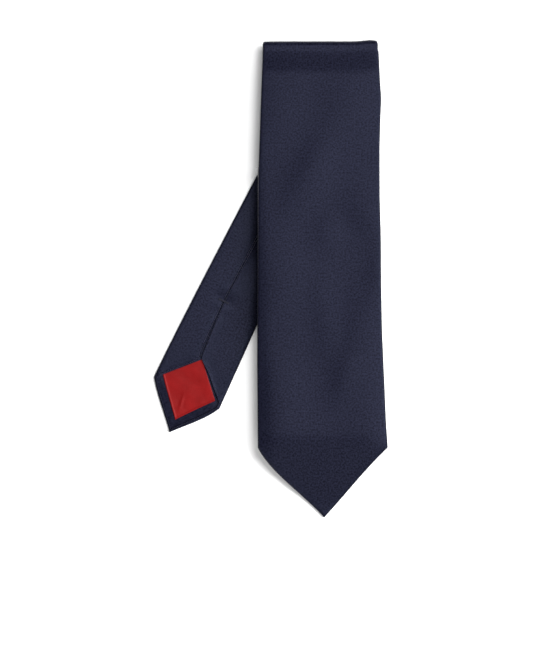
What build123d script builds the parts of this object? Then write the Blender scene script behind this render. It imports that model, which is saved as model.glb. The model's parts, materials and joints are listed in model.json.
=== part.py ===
from build123d import *

import os
from dataclasses import dataclass, field
from math import atan2, cos, hypot, pi, radians, sin, tan

# A gentlemen's necktie folded flat for display. It lies in six layers: the front blade on top, face
# up, four hidden layers that run up and down beneath it, and the tail at the bottom, which swings out
# to the lower left with its seamed back upwards. Millimetres, +Z up, the table at Z 0, the blade's
# point towards -Y. The origin is the middle of the rectangle that the folded tie covers.

# Widths of the folded silk
blade_width = 80.0  # across the shoulders of the front blade
tail_width = 45.0  # across the shoulders of the tail
fold_widths = [73.0, 56.5, 41.5, 35.0, 35.0]  # across the five folds, from the front blade on

# Lengths in plan, measured from the outer face of the first fold
blade_length = 294.1  # to the point of the front blade
blade_tip_depth = 42.7  # from the shoulders of the front blade to its point
upper_hidden_fold = 19.0
lower_hidden_folds = 250.0
tail_fold = 44.4  # to the crossing of the tail's fold line and the blade's axis

# The tail
tail_length = 217.7  # from its fold line to its point
tail_tip_depth = 25.6
tail_swing = 25.7  # degrees between the tail and the blade

# Thicknesses
silk = 0.6
interlining = 0.6
tipping = 0.3
slip = 0.1  # left between the pieces inside the silk tube
edge_wall = 0.8  # the silk's rolled edge, beside the pocket for the interlining
layer_gap = 0.3  # between two layers that lie on each other
trim_gap = 1.6  # between the front blade and the second layer, for the loop and labels

# The draped ends of the top two layers
fold_droop = 2.6  # how far they sink before the first fold
fold_lead = 4.0  # the level run beside the first fold
fold_bend = 15.0  # radius of the bends between that run and the level part
tip_rest = 6.0  # the stretch of the front blade's point that lies on the table
tip_lead = 2.0  # how far the blade runs past the lower folds before it sinks
tip_bend = 25.0

# The seam down the back, the hems at the two points and the lining under them
seam_gap = 0.6
seam_thread = 0.4
flap_part = 5.0  # how far the gap of the seam runs on into the opening at a point
tail_seam_shift = -2.0  # the tail's seam lies a little to one side of its axis
hem = 6.0  # from the edge of the point to the lining
tipping_tuck = 8.0  # how far the lining runs up under the flaps
tipping_inset = 1.5
join_angle = 45.0  # the bias joins between the silk panels

# Trim on the back
front_tack_place = 176.0  # below the first fold
front_tack_length = 8.0
tail_tack_place = 131.1  # from the tail's fold line
tail_tack_length = 6.0
tack_width = 1.0
tack_height = 0.5
keeper_place = 100.0
keeper_width = 12.0
keeper_length = 48.0
keeper_foot = 4.0
keeper_silk = 0.7
keeper_room = 0.4  # between the keeper loop and the blade, flattened by the tie's weight
maker_label_place = 125.0
maker_label_size = (44.0, 20.0)
care_label_place = 76.7
care_label_size = (37.9, 14.0)
care_label_turn = 12.0  # degrees by which the loose label slants towards the point
label_thickness = 0.3
front_join_place = 140.0  # the join of the front and neck panels, in the third layer
tail_join_place = 150.0  # the join of the neck and tail panels, in the fifth layer

# What follows from those
pocket = interlining + tipping + 3 * slip
layer = 2 * silk + pocket
pitch = layer + layer_gap
swing = radians(tail_swing)
fold_tilt = tan(swing / 2)  # slope of the tail's fold line
tail_shoulder = tail_length - tail_tip_depth
tail_reach = tail_width / 2 * cos(swing) + tail_shoulder * sin(swing)
blade_x = (tail_reach - blade_width / 2) / 2
blade_top = blade_length / 2
heights = [layer / 2 + pitch * count for count in range(5)]
heights = [heights[4] + layer + trim_gap] + heights[::-1]
first_fold_radius = (heights[0] - heights[1]) / 2
fold_radius = pitch / 2
first_fold = first_fold_radius + layer / 2
upper_fold = upper_hidden_fold + fold_radius + layer / 2
lower_fold = lower_hidden_folds - fold_radius - layer / 2
above_all = heights[0] + layer
past_edges = blade_length + blade_width

straight = Plane(origin=(blade_x, blade_top, 0), x_dir=(1, 0, 0), z_dir=(0, 0, 1))
swung = Plane(
    origin=(blade_x, blade_top - tail_fold, 0),
    x_dir=(cos(swing), -sin(swing), 0),
    z_dir=(0, 0, 1),
)


@dataclass
class Stretch:
    """One flat stretch of the tie, from its upper end to its lower end on its own axis."""

    name: str
    frame: Plane
    back: int  # 1 when the seamed back is upwards, -1 when it is underneath
    top: float
    bottom: float
    top_width: float
    bottom_width: float
    run: list  # the mid-line's points (along, height), from the lower end to the upper
    bends: list = field(default_factory=list)  # radii at the run's inner points
    tilt: float = 0.0  # slope of its upper end across the axis
    tip_depth: float = 0.0  # 0 when the lower end is a fold
    seam_shift: float = 0.0


def side_plane(piece):
    """The upright plane along a stretch's axis."""
    return Plane(origin=piece.frame.origin, x_dir=piece.frame.y_dir, z_dir=piece.frame.x_dir)


def shifted_run(piece, depth):
    """A stretch's mid-line moved depth upwards and kept parallel, with the radii of its bends."""
    ways = []
    for (y0, z0), (y1, z1) in zip(piece.run, piece.run[1:]):
        length = hypot(y1 - y0, z1 - z0)
        ways.append(((y1 - y0) / length, (z1 - z0) / length))
    before, after = [ways[0]] + ways, ways + [ways[-1]]
    points, radii = [], []
    for (y, z), (ay, az), (by, bz) in zip(piece.run, before, after):
        share = depth / (1 + ay * by + az * bz)
        points.append((y - share * (az + bz), z + share * (ay + by)))
    for radius, (ay, az), (by, bz) in zip(piece.bends, ways, ways[1:]):
        radii.append(radius - depth if ay * bz - az * by > 0 else radius + depth)
    return points, radii


def draw_band(piece, low, high):
    """The side view of the cloth between two heights from a stretch's mid-line."""
    ends = []
    with BuildLine() as outline:
        for depth in (low, high):
            points, radii = shifted_run(piece, depth)
            if radii:
                FilletPolyline(*points, radius=radii)
            else:
                Line(*points)
            ends.append((points[0], points[-1]))
        Line(ends[0][0], ends[1][0])
        Line(ends[0][1], ends[1][1])
    make_face(outline.edges())


def draw_stretch(piece, inset=0.0, mode=Mode.ADD):
    """A stretch seen from above, its sides and point drawn in by inset, its folded ends kept."""
    top, bottom = piece.top_width / 2 - inset, piece.bottom_width / 2 - inset
    points = [
        (-bottom, -piece.bottom),
        (-top, -piece.top - piece.tilt * top),
        (top, -piece.top + piece.tilt * top),
        (bottom, -piece.bottom),
    ]
    if piece.tip_depth:
        half_angle = atan2(piece.bottom_width / 2, piece.tip_depth)
        points.append((0, -piece.bottom - piece.tip_depth + inset / sin(half_angle)))
    with BuildLine() as outline:
        Polyline(*points, close=True)
    make_face(outline.edges(), mode=mode)


def draw_seam(piece, width, past=0.0):
    """The strip along the seam, from the folded end to past where the flaps part, or to the next fold."""
    low = -piece.bottom + (piece.bottom_width / 2 - past if piece.tip_depth else 0)
    high = -piece.top + piece.tilt * piece.seam_shift
    with Locations((piece.seam_shift, low)):
        Rectangle(width, high - low, align=(Align.CENTER, Align.MIN))


def draw_opening(piece):
    """The kite-shaped opening between the flaps and the hems of a point."""
    half, shoulder, depth = piece.bottom_width / 2, -piece.bottom, piece.tip_depth
    with BuildLine() as flaps:
        Polyline((-half, shoulder), (0, shoulder + half), (half, shoulder), (0, shoulder - depth), close=True)
    make_face(flaps.edges())
    low = shoulder - depth + hem / sin(atan2(half, depth))
    with BuildLine() as hems:
        Polyline((0, low), (2 * half, low + 2 * depth), (-2 * half, low + 2 * depth), close=True)
    make_face(hems.edges(), mode=Mode.INTERSECT)


def draw_tipping(piece):
    """The lining of a point, tucked under the hems and the flaps."""
    draw_stretch(piece, inset=tipping_inset)
    with Locations((0, -piece.bottom + piece.bottom_width / 2 + tipping_tuck)):
        Rectangle(past_edges, past_edges, align=(Align.CENTER, Align.MAX), mode=Mode.INTERSECT)


def cloth(piece, low, high, draw):
    """A draped sheet between two depths, counted from the mid-line towards the tie's back."""
    low, high = sorted((low * piece.back, high * piece.back))
    with BuildPart() as sheet:
        with BuildSketch(side_plane(piece)):
            draw_band(piece, low, high)
        extrude(amount=past_edges, both=True)
        with BuildSketch(piece.frame.offset(-layer)):
            draw()
        extrude(amount=above_all + 2 * layer, mode=Mode.INTERSECT)
    return sheet.part


def level_run(top, bottom, height):
    """A flat mid-line between two ends."""
    return [(-bottom, height), (-top, height)]


shoulder = blade_length - blade_tip_depth
sunk = [height - fold_droop for height in heights[:2]]
droop_start = upper_hidden_fold - slip
front_run = [
    (-blade_length - layer, layer / 2),
    (-blade_length + tip_rest, layer / 2),
    (-lower_hidden_folds - tip_lead, heights[0]),
    (-droop_start, heights[0]),
    (-first_fold - fold_lead, sunk[0]),
    (-first_fold, sunk[0]),
]
second_run = [
    (-lower_fold, heights[1]),
    (-droop_start, heights[1]),
    (-first_fold - fold_lead, sunk[1]),
    (-first_fold, sunk[1]),
]
tail_run = [(-tail_length - layer, heights[5]), (tail_width, heights[5])]
fifth_run = [(-lower_fold, heights[4]), (tail_width - tail_fold, heights[4])]

stretches = [
    Stretch(
        "front_blade",
        straight,
        -1,
        first_fold,
        shoulder,
        fold_widths[0],
        blade_width,
        front_run,
        [tip_bend, tip_bend, fold_bend, fold_bend],
        tip_depth=blade_tip_depth,
    ),
    Stretch(
        "second_layer",
        straight,
        1,
        first_fold,
        lower_fold,
        fold_widths[0],
        fold_widths[1],
        second_run,
        [fold_bend, fold_bend],
    ),
    Stretch(
        "third_layer",
        straight,
        -1,
        upper_fold,
        lower_fold,
        fold_widths[2],
        fold_widths[1],
        level_run(upper_fold, lower_fold, heights[2]),
    ),
    Stretch(
        "fourth_layer",
        straight,
        1,
        upper_fold,
        lower_fold,
        fold_widths[2],
        fold_widths[3],
        level_run(upper_fold, lower_fold, heights[3]),
    ),
    Stretch(
        "fifth_layer",
        straight,
        -1,
        tail_fold,
        lower_fold,
        fold_widths[4],
        fold_widths[3],
        fifth_run,
        tilt=-fold_tilt,
    ),
    Stretch(
        "tail",
        swung,
        1,
        0.0,
        tail_shoulder,
        fold_widths[4],
        tail_width,
        tail_run,
        tilt=fold_tilt,
        tip_depth=tail_tip_depth,
        seam_shift=tail_seam_shift,
    ),
]
front_blade, tail = stretches[0], stretches[5]
joins = {"third_layer": (front_join_place, "neck", "front"), "fifth_layer": (tail_join_place, "tail", "neck")}

os.makedirs("parts", exist_ok=True)

# The silk tube of each stretch, open along its seam and, at a point, between its flaps and hems
for piece in stretches:
    outer = cloth(piece, -layer / 2, layer / 2, lambda: draw_stretch(piece))
    inner = cloth(piece, -pocket / 2, pocket / 2, lambda: draw_stretch(piece, edge_wall))
    seam = cloth(piece, 0, layer, lambda: draw_seam(piece, seam_gap, flap_part))
    with BuildPart() as shell:
        add(outer)
        add(inner, mode=Mode.SUBTRACT)
        add(seam, mode=Mode.SUBTRACT)
    if piece.tip_depth:
        opening = cloth(piece, 0, layer, lambda: draw_opening(piece))
        with shell:
            add(opening, mode=Mode.SUBTRACT)
    if piece.name not in joins:
        shell.part.label = f"{piece.name}_shell"
        export_step(shell.part, f"parts/{piece.name}_shell.step")
        continue
    # A bias join splits the silk into two panels that meet face to face
    place, upper_panel, lower_panel = joins[piece.name]
    slant = radians(join_angle)
    join = Plane(
        origin=(blade_x, blade_top - place, 0), x_dir=(0, 0, 1), z_dir=(-sin(slant), cos(slant), 0)
    )
    for panel, kept in ((upper_panel, Keep.TOP), (lower_panel, Keep.BOTTOM)):
        with BuildPart() as half_shell:
            add(shell.part)
            split(bisect_by=join, keep=kept)
        half_shell.part.label = f"{piece.name}_{panel}_panel"
        export_step(half_shell.part, f"parts/{piece.name}_{panel}_panel.step")

# The interlining in each tube, against the face cloth, and the thread in the seam
interlining_low = -pocket / 2 + slip
for piece in stretches:
    canvas = cloth(
        piece,
        interlining_low,
        interlining_low + interlining,
        lambda: draw_stretch(piece, edge_wall + slip),
    )
    canvas.label = f"{piece.name}_interlining"
    export_step(canvas, f"parts/{piece.name}_interlining.step")
    thread_low = layer / 2 - silk / 2 - seam_thread / 2
    thread = cloth(piece, thread_low, thread_low + seam_thread, lambda: draw_seam(piece, seam_thread))
    thread.label = f"{piece.name}_seam_thread"
    export_step(thread, f"parts/{piece.name}_seam_thread.step")

# The red linings of the two points
tipping_low = pocket / 2 - slip - tipping
for piece, name in ((front_blade, "front_tipping"), (tail, "tail_tipping")):
    lining = cloth(piece, tipping_low, tipping_low + tipping, lambda: draw_tipping(piece))
    lining.label = name
    export_step(lining, f"parts/{name}.step")

# The folds, each a half ring of silk tube round the fold's centre, with its interlining inside
fold_lines = [
    (straight, -first_fold, (sunk[0] + sunk[1]) / 2, first_fold_radius, 1, 0.0),
    (straight, -lower_fold, (heights[1] + heights[2]) / 2, fold_radius, -1, 0.0),
    (straight, -upper_fold, (heights[2] + heights[3]) / 2, fold_radius, 1, 0.0),
    (straight, -lower_fold, (heights[3] + heights[4]) / 2, fold_radius, -1, 0.0),
    (straight, -tail_fold, (heights[4] + heights[5]) / 2, fold_radius, 1, -swing / 2),
]


def half_ring(frame, along, height, outward, turn, radii, length):
    """A half ring about a level line across the tie, from one layer's end round to the next one's."""
    line = Vector(cos(turn), sin(turn), 0)
    away = Vector(-sin(turn), cos(turn), 0) * outward
    start = Vector(frame.origin.X, frame.origin.Y + along, height) - line * (length / 2)
    inner, outer = radii
    with BuildPart() as ring:
        with BuildSketch(Plane(origin=start, x_dir=away, z_dir=line)):
            Circle(outer)
            Circle(inner, mode=Mode.SUBTRACT)
            Rectangle(outer, 2 * outer, align=(Align.MAX, Align.CENTER), mode=Mode.SUBTRACT)
        extrude(amount=length)
    return ring.part


for count, ((frame, along, height, radius, outward, turn), width) in enumerate(
    zip(fold_lines, fold_widths), start=1
):
    length = width / cos(turn)
    wrap = half_ring(
        frame, along, height, outward, turn, (radius - layer / 2, radius + layer / 2), length
    )
    room = half_ring(
        frame,
        along,
        height,
        outward,
        turn,
        (radius - pocket / 2, radius + pocket / 2),
        length - 2 * edge_wall,
    )
    # The face cloth is inside folds 2 and 4 and outside the others, and the canvas keeps to it
    face = 1 if outward > 0 else -1
    canvas_radii = sorted(
        (radius - face * interlining_low, radius - face * (interlining_low + interlining))
    )
    canvas = half_ring(
        frame, along, height, outward, turn, canvas_radii, length - 2 * (edge_wall + slip)
    )
    with BuildPart() as fold:
        add(wrap)
        add(room, mode=Mode.SUBTRACT)
    fold.part.label = f"fold_{count}_shell"
    export_step(fold.part, f"parts/fold_{count}_shell.step")
    canvas.label = f"fold_{count}_interlining"
    export_step(canvas, f"parts/fold_{count}_interlining.step")

# The bar tacks: a short bar of thread across each end of the seam
blade_back = heights[0] - layer / 2
tacks = (
    ("front_bar_tack", straight, (0, -front_tack_place), front_tack_length, blade_back - tack_height),
    ("tail_bar_tack", swung, (tail_seam_shift, -tail_tack_place), tail_tack_length, layer),
)
for name, frame, place, length, base in tacks:
    with BuildPart() as tack:
        with BuildSketch(frame.offset(base)):
            with Locations(place):
                SlotOverall(length, tack_width)
        extrude(amount=tack_height)
    tack.part.label = name
    export_step(tack.part, f"parts/{name}.step")

# The keeper loop, a flattened band stitched to the back of the blade by its two feet
with BuildPart() as keeper_loop:
    with BuildSketch(Plane.XZ.offset(keeper_place - keeper_width / 2 - blade_top)):
        with Locations((blade_x, blade_back)):
            Rectangle(keeper_length, keeper_silk + keeper_room, align=(Align.CENTER, Align.MAX))
            Rectangle(
                keeper_length - 2 * keeper_foot,
                keeper_room,
                align=(Align.CENTER, Align.MAX),
                mode=Mode.SUBTRACT,
            )
    extrude(amount=keeper_width)
    lower_edges = keeper_loop.edges().filter_by(Axis.Y).group_by(Axis.Z)[0]
    fillet(lower_edges, radius=keeper_silk / 2)
keeper_loop.part.label = "keeper_loop"
export_step(keeper_loop.part, "parts/keeper_loop.step")

# The blank labels: one stitched flat across the seam, one loose by its end from the seam
with BuildPart() as maker_label:
    with BuildSketch(straight.offset(blade_back - label_thickness)):
        with Locations((0, -maker_label_place)):
            RectangleRounded(*maker_label_size, radius=label_thickness)
    extrude(amount=label_thickness)
maker_label.part.label = "maker_label"
export_step(maker_label.part, "parts/maker_label.step")

with BuildPart() as care_label:
    with BuildSketch(straight.offset(blade_back - label_thickness)):
        with Locations(Location((0, -care_label_place), care_label_turn)):
            Rectangle(*care_label_size, align=(Align.MAX, Align.CENTER))
    extrude(amount=label_thickness)
care_label.part.label = "care_label"
export_step(care_label.part, "parts/care_label.step")

print("hinge offset from a fold's centre:", round(pi * fold_radius / 2, 3))
print("first hinge's offset:", round(pi * first_fold_radius / 2, 3))
print("blade axis at x", round(blade_x, 3), "first fold's face at y", round(blade_top, 3))
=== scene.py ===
"""Dresses the CAD frame of a necktie folded flat in six layers, with its tail turned out to one side."""

import json
import logging
import math
from dataclasses import dataclass, field
from enum import Enum
from functools import partial
from typing import Any, Callable, Sequence

import bmesh
import bpy
import numpy as np
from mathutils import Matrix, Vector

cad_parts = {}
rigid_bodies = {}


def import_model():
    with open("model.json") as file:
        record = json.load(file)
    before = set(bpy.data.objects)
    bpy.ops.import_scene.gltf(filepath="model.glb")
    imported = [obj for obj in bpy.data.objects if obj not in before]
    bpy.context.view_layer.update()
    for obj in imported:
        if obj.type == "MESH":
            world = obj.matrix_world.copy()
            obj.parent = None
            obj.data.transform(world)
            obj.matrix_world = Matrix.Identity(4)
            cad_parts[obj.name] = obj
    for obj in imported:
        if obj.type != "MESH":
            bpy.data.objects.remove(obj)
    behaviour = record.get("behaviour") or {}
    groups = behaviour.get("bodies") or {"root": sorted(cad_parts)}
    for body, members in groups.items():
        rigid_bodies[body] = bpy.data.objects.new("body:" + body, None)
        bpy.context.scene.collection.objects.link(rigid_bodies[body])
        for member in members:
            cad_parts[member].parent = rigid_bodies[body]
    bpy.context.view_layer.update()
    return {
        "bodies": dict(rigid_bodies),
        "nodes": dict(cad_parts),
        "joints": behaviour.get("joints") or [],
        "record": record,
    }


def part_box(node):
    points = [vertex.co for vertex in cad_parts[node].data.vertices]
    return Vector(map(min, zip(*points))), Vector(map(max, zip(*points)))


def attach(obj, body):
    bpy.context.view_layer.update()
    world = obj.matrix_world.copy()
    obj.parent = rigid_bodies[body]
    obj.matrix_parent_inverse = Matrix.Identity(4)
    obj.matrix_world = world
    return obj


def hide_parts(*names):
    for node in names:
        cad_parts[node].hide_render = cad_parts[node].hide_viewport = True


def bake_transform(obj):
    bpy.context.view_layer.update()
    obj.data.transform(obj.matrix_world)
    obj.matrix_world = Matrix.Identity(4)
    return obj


LOG = logging.getLogger("necktie")
MM = 0.001  # the makers below work in millimetres, and meshes are in metres
Curve = Callable[[np.ndarray], np.ndarray]


def smoothed(stations: Sequence[tuple[float, float]], reach: float) -> Curve:
    """A curve through a few stations with its corners rounded off.

    Args:
        stations: (distance, value) pairs in order.
        reach: how far each corner is rounded to either side, in the stations' unit.

    Returns:
        A function of distance, level beyond both ends.
    """
    step = reach / 12
    at = np.arange(stations[0][0] - 3 * reach, stations[-1][0] + 3 * reach, step)
    value = np.interp(at, *np.array(stations, float).T)
    window = np.hanning(2 * 12 + 1)
    value = np.convolve(np.pad(value, 12, mode="edge"), window / window.sum(), mode="valid")
    return lambda x: np.interp(x, at, value)


def ease(x: np.ndarray) -> np.ndarray:
    """A smooth step from 0 to 1 as x goes from 0 to 1."""
    x = np.clip(x, 0, 1)
    return x * x * (3 - 2 * x)


def straight_edge(v0: float, w0: float, v1: float, w1: float) -> Curve:
    """An edge whose distance from the axis changes evenly between two places."""
    return lambda v: w0 + (w1 - w0) * (v - v0) / (v1 - v0)


def add_node(
    tree: bpy.types.NodeTree, kind: str, settings: dict[str, Any], values: dict[Any, Any]
) -> bpy.types.Node:
    """Adds a node to a shader or geometry tree.

    Args:
        tree: the tree.
        kind: the node's type.
        settings: its properties, set first.
        values: its input sockets by name or index, as values or links.

    Returns:
        The new node.
    """
    node = tree.nodes.new(kind)
    for name, value in settings.items():
        setattr(node, name, value)
    for name, value in values.items():
        if isinstance(value, Amount):
            value = value.socket
        if isinstance(value, bpy.types.NodeSocket):
            tree.links.new(value, node.inputs[name])
        else:
            node.inputs[name].default_value = value
    return node


# ---------------------------------------------------------------- finishes


class Amount:
    """A shader number: a node's output, with Python's operators standing for Math nodes."""

    def __init__(self, maker: "Shader", socket: bpy.types.NodeSocket) -> None:
        """Wraps one output socket of a maker's tree."""
        self.maker, self.socket = maker, socket

    def math(self, operation: str, *others: Any) -> "Amount":
        """Adds one Math node on this value.

        Args:
            operation: the Math node's operation.
            others: numbers or Amounts for its other sockets.

        Returns:
            The node's output.
        """
        values = {n: v for n, v in enumerate((self, *others))}
        return self.maker.amount("ShaderNodeMath", {"operation": operation}, values)

    def __add__(self, other: Any) -> "Amount":
        """This value plus another."""
        return self.math("ADD", other)

    def __radd__(self, other: Any) -> "Amount":
        """Another value plus this one."""
        return self.math("ADD", other)

    def __sub__(self, other: Any) -> "Amount":
        """This value less another."""
        return self.math("SUBTRACT", other)

    def __rsub__(self, other: Any) -> "Amount":
        """Another value less this one."""
        return (self * -1.0) + other

    def __mul__(self, other: Any) -> "Amount":
        """This value times another."""
        return self.math("MULTIPLY", other)

    def __rmul__(self, other: Any) -> "Amount":
        """Another value times this one."""
        return self.math("MULTIPLY", other)


class Shader:
    """One material's node tree and the finishing touches that all share."""

    def __init__(self, name: str) -> None:
        """Makes an empty material of that name."""
        self.material = bpy.data.materials.new(name)
        self.material.use_nodes = True
        self.tree = self.material.node_tree
        self.tree.nodes.clear()

    def node(self, kind: str, settings: dict[str, Any], values: dict[Any, Any]) -> bpy.types.Node:
        """Adds a node to this material's tree."""
        return add_node(self.tree, kind, settings, values)

    def amount(self, kind: str, settings: dict[str, Any], values: dict[Any, Any], out: Any = 0) -> Amount:
        """Adds a node and wraps one of its outputs, named by out, for shader maths."""
        return Amount(self, self.node(kind, settings, values).outputs[out])

    def surface_place(self) -> tuple[Any, Amount, Amount]:
        """The cloth's own flat place: its UV vector, and its across and along parts in metres."""
        uv = self.node("ShaderNodeUVMap", {"uv_map": "cloth"}, {}).outputs[0]
        parts = self.node("ShaderNodeSeparateXYZ", {}, {0: uv})
        return uv, Amount(self, parts.outputs[0]), Amount(self, parts.outputs[1])

    def noise(self, vector: Any, scale: float, detail: float, rough: float = 0.5) -> Amount:
        """Noise from 0 to 1, at a scale in features per metre."""
        values = {"Vector": vector, "Scale": scale, "Detail": detail, "Roughness": rough}
        return self.amount("ShaderNodeTexNoise", {}, values)

    def blend(self, factor: Amount, low: Sequence[float], high: Sequence[float]) -> Any:
        """A colour between two, by a factor from 0 to 1."""
        node = self.node(
            "ShaderNodeMix", {"data_type": "RGBA"}, {0: factor, 6: (*low, 1.0), 7: (*high, 1.0)}
        )
        return node.outputs[2]

    def finish(
        self, colour: Any, rough: Any, relief: Amount, depth: float, **fixed: Any
    ) -> bpy.types.Material:
        """Ends the tree in one surface shader.

        Args:
            colour: the base colour's link.
            rough: the roughness, a link or a number.
            relief: the height that the bump follows.
            depth: what a height of 1 stands for, in metres.
            fixed: constant sockets of the shader, with spaces as underscores.

        Returns:
            The finished material.
        """
        bump = self.node("ShaderNodeBump", {}, {"Height": relief, "Distance": depth, "Strength": 1.0})
        values = {"Base Color": colour, "Roughness": rough, "Normal": bump.outputs[0]}
        values.update({name.replace("_", " "): value for name, value in fixed.items()})
        shader = self.node("ShaderNodeBsdfPrincipled", {}, values)
        self.node("ShaderNodeOutputMaterial", {}, {0: shader.outputs[0]})
        return self.material


@dataclass(frozen=True)
class TwillSilk:
    """Dyed silk twill: fine diagonal ribs, a slubby grain and a soft satin sheen."""

    name: str
    dark: tuple[float, float, float]
    light: tuple[float, float, float]
    rib: float = 0.62  # millimetres from one rib to the next
    grain: float = 1.15  # millimetres, the size of the slubs

    def make(self) -> bpy.types.Material:
        """Builds the material."""
        shader = Shader(self.name)
        uv, across, along = shader.surface_place()
        ribs = ((across * 0.8 + along * 1.3) * (2 * math.pi / (self.rib * MM))).math("SINE")
        slub = shader.noise(uv, 1 / (self.grain * MM), 3.0, 0.75)
        worn = shader.noise(uv, 22.0, 3.0)
        factor = (slub - 0.5) * 6.5 + (worn - 0.5) * 0.4 + ribs * 0.16 + 0.5
        colour = shader.blend(factor.math("MAXIMUM", 0.0).math("MINIMUM", 1.0), self.dark, self.light)
        rough = 0.29 + (slub - 0.5) * 0.12
        relief = ribs * 0.3 + slub
        return shader.finish(
            colour, rough, relief, 0.00005, Specular_IOR_Level=0.105, Specular_Tint=(0.5, 0.55, 0.85, 1.0),
            Sheen_Weight=0.01
        )


@dataclass(frozen=True)
class Satin:
    """A smooth lining or ribbon satin with fine floats along it."""

    name: str
    dark: tuple[float, float, float]
    light: tuple[float, float, float]
    rough: float = 0.42
    tint: tuple[float, float, float, float] = (1.0, 1.0, 1.0, 1.0)

    def make(self) -> bpy.types.Material:
        """Builds the material."""
        shader = Shader(self.name)
        uv, across, along = shader.surface_place()
        floats = (across * (2 * math.pi / (0.3 * MM))).math("SINE")
        cloudy = shader.noise(uv, 130.0, 3.0)
        fine = shader.noise(uv, 1600.0, 1.0)
        factor = (cloudy - 0.5) * 1.2 + (fine - 0.5) * 0.5 + 0.5
        colour = shader.blend(factor.math("MAXIMUM", 0.0).math("MINIMUM", 1.0), self.dark, self.light)
        relief = floats * 0.12 + cloudy * 4.0 + fine * 0.4
        return shader.finish(
            colour, self.rough + (fine - 0.5) * 0.1, relief, 0.00006, Specular_IOR_Level=0.16,
            Specular_Tint=self.tint
        )


@dataclass(frozen=True)
class WoolCanvas:
    """Brushed wool interlining: an open plain weave with a soft nap."""

    name: str = "wool_canvas"

    def make(self) -> bpy.types.Material:
        """Builds the material."""
        shader = Shader(self.name)
        uv, across, along = shader.surface_place()
        warp = (across * (2 * math.pi / (1.0 * MM))).math("SINE")
        weft = (along * (2 * math.pi / (1.0 * MM))).math("SINE")
        nap = shader.noise(uv, 700.0, 4.0, 0.7)
        weave = warp * weft
        factor = weave * 0.2 + nap
        colour = shader.blend(factor, (0.42, 0.37, 0.29), (0.72, 0.68, 0.58))
        return shader.finish(colour, 0.92, weave * 0.6 + nap, 0.0002, Sheen_Weight=0.2)


@dataclass(frozen=True)
class Thread:
    """Twisted sewing thread."""

    name: str
    dark: tuple[float, float, float]
    light: tuple[float, float, float]

    def make(self) -> bpy.types.Material:
        """Builds the material."""
        shader = Shader(self.name)
        place = shader.node("ShaderNodeTexCoord", {}, {}).outputs["Object"]
        parts = shader.node("ShaderNodeSeparateXYZ", {}, {0: place})
        x, y = Amount(shader, parts.outputs[0]), Amount(shader, parts.outputs[1])
        twist = ((x + y) * (2 * math.pi / (0.35 * MM))).math("SINE")
        fuzz = shader.noise(place, 2500.0, 2.0)
        colour = shader.blend(twist * 0.3 + fuzz, self.dark, self.light)
        return shader.finish(colour, 0.6, twist * 0.5 + fuzz, 0.00008, Specular_IOR_Level=0.3)


@dataclass(frozen=True)
class PaleFloor:
    """The plain matt table top."""

    name: str = "pale_floor"
    shade: float = 0.93

    def make(self) -> bpy.types.Material:
        """Builds the material."""
        shader = Shader(self.name)
        place = shader.node("ShaderNodeTexCoord", {}, {}).outputs["Object"]
        grain = shader.noise(place, 400.0, 2.0)
        low, high = (self.shade - 0.005,) * 3, (self.shade + 0.005,) * 3
        return shader.finish(shader.blend(grain, low, high), 0.9, grain, 0.00002)


class Cloths:
    """Every finish of the tie, made once."""

    def __init__(self) -> None:
        """Builds all the materials."""
        self.silk = TwillSilk("navy_twill", (0.0010, 0.0012, 0.0042), (0.0074, 0.0078, 0.0168)).make()
        red_tint = (1.0, 0.35, 0.35, 1.0)
        self.lining = Satin("red_lining", (0.105, 0.002, 0.0022), (0.17, 0.0055, 0.006), 0.4, red_tint).make()
        self.ribbon = Satin("pale_ribbon", (0.20, 0.20, 0.205), (0.30, 0.30, 0.30), 0.5).make()
        self.canvas = WoolCanvas().make()
        self.thread = Thread("navy_thread", (0.003, 0.003, 0.009), (0.010, 0.011, 0.024)).make()
        self.floor = PaleFloor().make()


# ---------------------------------------------------------------- meshes


class Side(Enum):
    """Which way the tie's seamed back faces."""

    UP = 1
    DOWN = -1


def make_piece(
    name: str,
    rings: np.ndarray,
    uv: np.ndarray,
    material: bpy.types.Material,
    sharp: float = 50.0,
) -> bpy.types.Object:
    """A closed mesh from rings of points, with a cap on each end.

    Args:
        name: the object's name.
        rings: points in millimetres, shaped (rings, points round, 3).
        uv: flat places in metres, shaped (rings, points round + 1, 2).
        material: its finish.
        sharp: edges that turn by more degrees than this stay crisp.

    Returns:
        The object, with its place in its mesh.
    """
    count, around = rings.shape[:2]
    faces, places = [], []
    for i in range(count - 1):
        for j in range(around):
            k = (j + 1) % around
            faces.append((i * around + j, i * around + k, (i + 1) * around + k, (i + 1) * around + j))
            places += [uv[i, j], uv[i, j + 1], uv[i + 1, j + 1], uv[i + 1, j]]
    for i, order in ((0, range(around - 1, -1, -1)), (count - 1, range(around))):
        faces.append(tuple(i * around + j for j in order))
        places += [uv[i, j] for j in order]
    mesh = bpy.data.meshes.new(name)
    mesh.from_pydata((rings.reshape(-1, 3) * MM).tolist(), [], faces)
    layer = mesh.uv_layers.new(name="cloth")
    layer.data.foreach_set("uv", np.array(places, np.float32).ravel())
    mesh.materials.append(material)
    return settle(bpy.data.objects.new(name, mesh), sharp)


def settle(piece: bpy.types.Object, sharp: float = 50.0) -> bpy.types.Object:
    """Turns a new object's faces outwards, shades it smooth and puts it in the scene."""
    bpy.context.scene.collection.objects.link(piece)
    work = bmesh.new()
    work.from_mesh(piece.data)
    bmesh.ops.recalc_face_normals(work, faces=work.faces)
    if work.calc_volume(signed=True) < 0:
        bmesh.ops.reverse_faces(work, faces=work.faces)
    work.to_mesh(piece.data)
    work.free()
    for polygon in piece.data.polygons:
        polygon.use_smooth = True
    piece.data.set_sharp_from_angle(angle=math.radians(sharp))
    return piece


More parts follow.
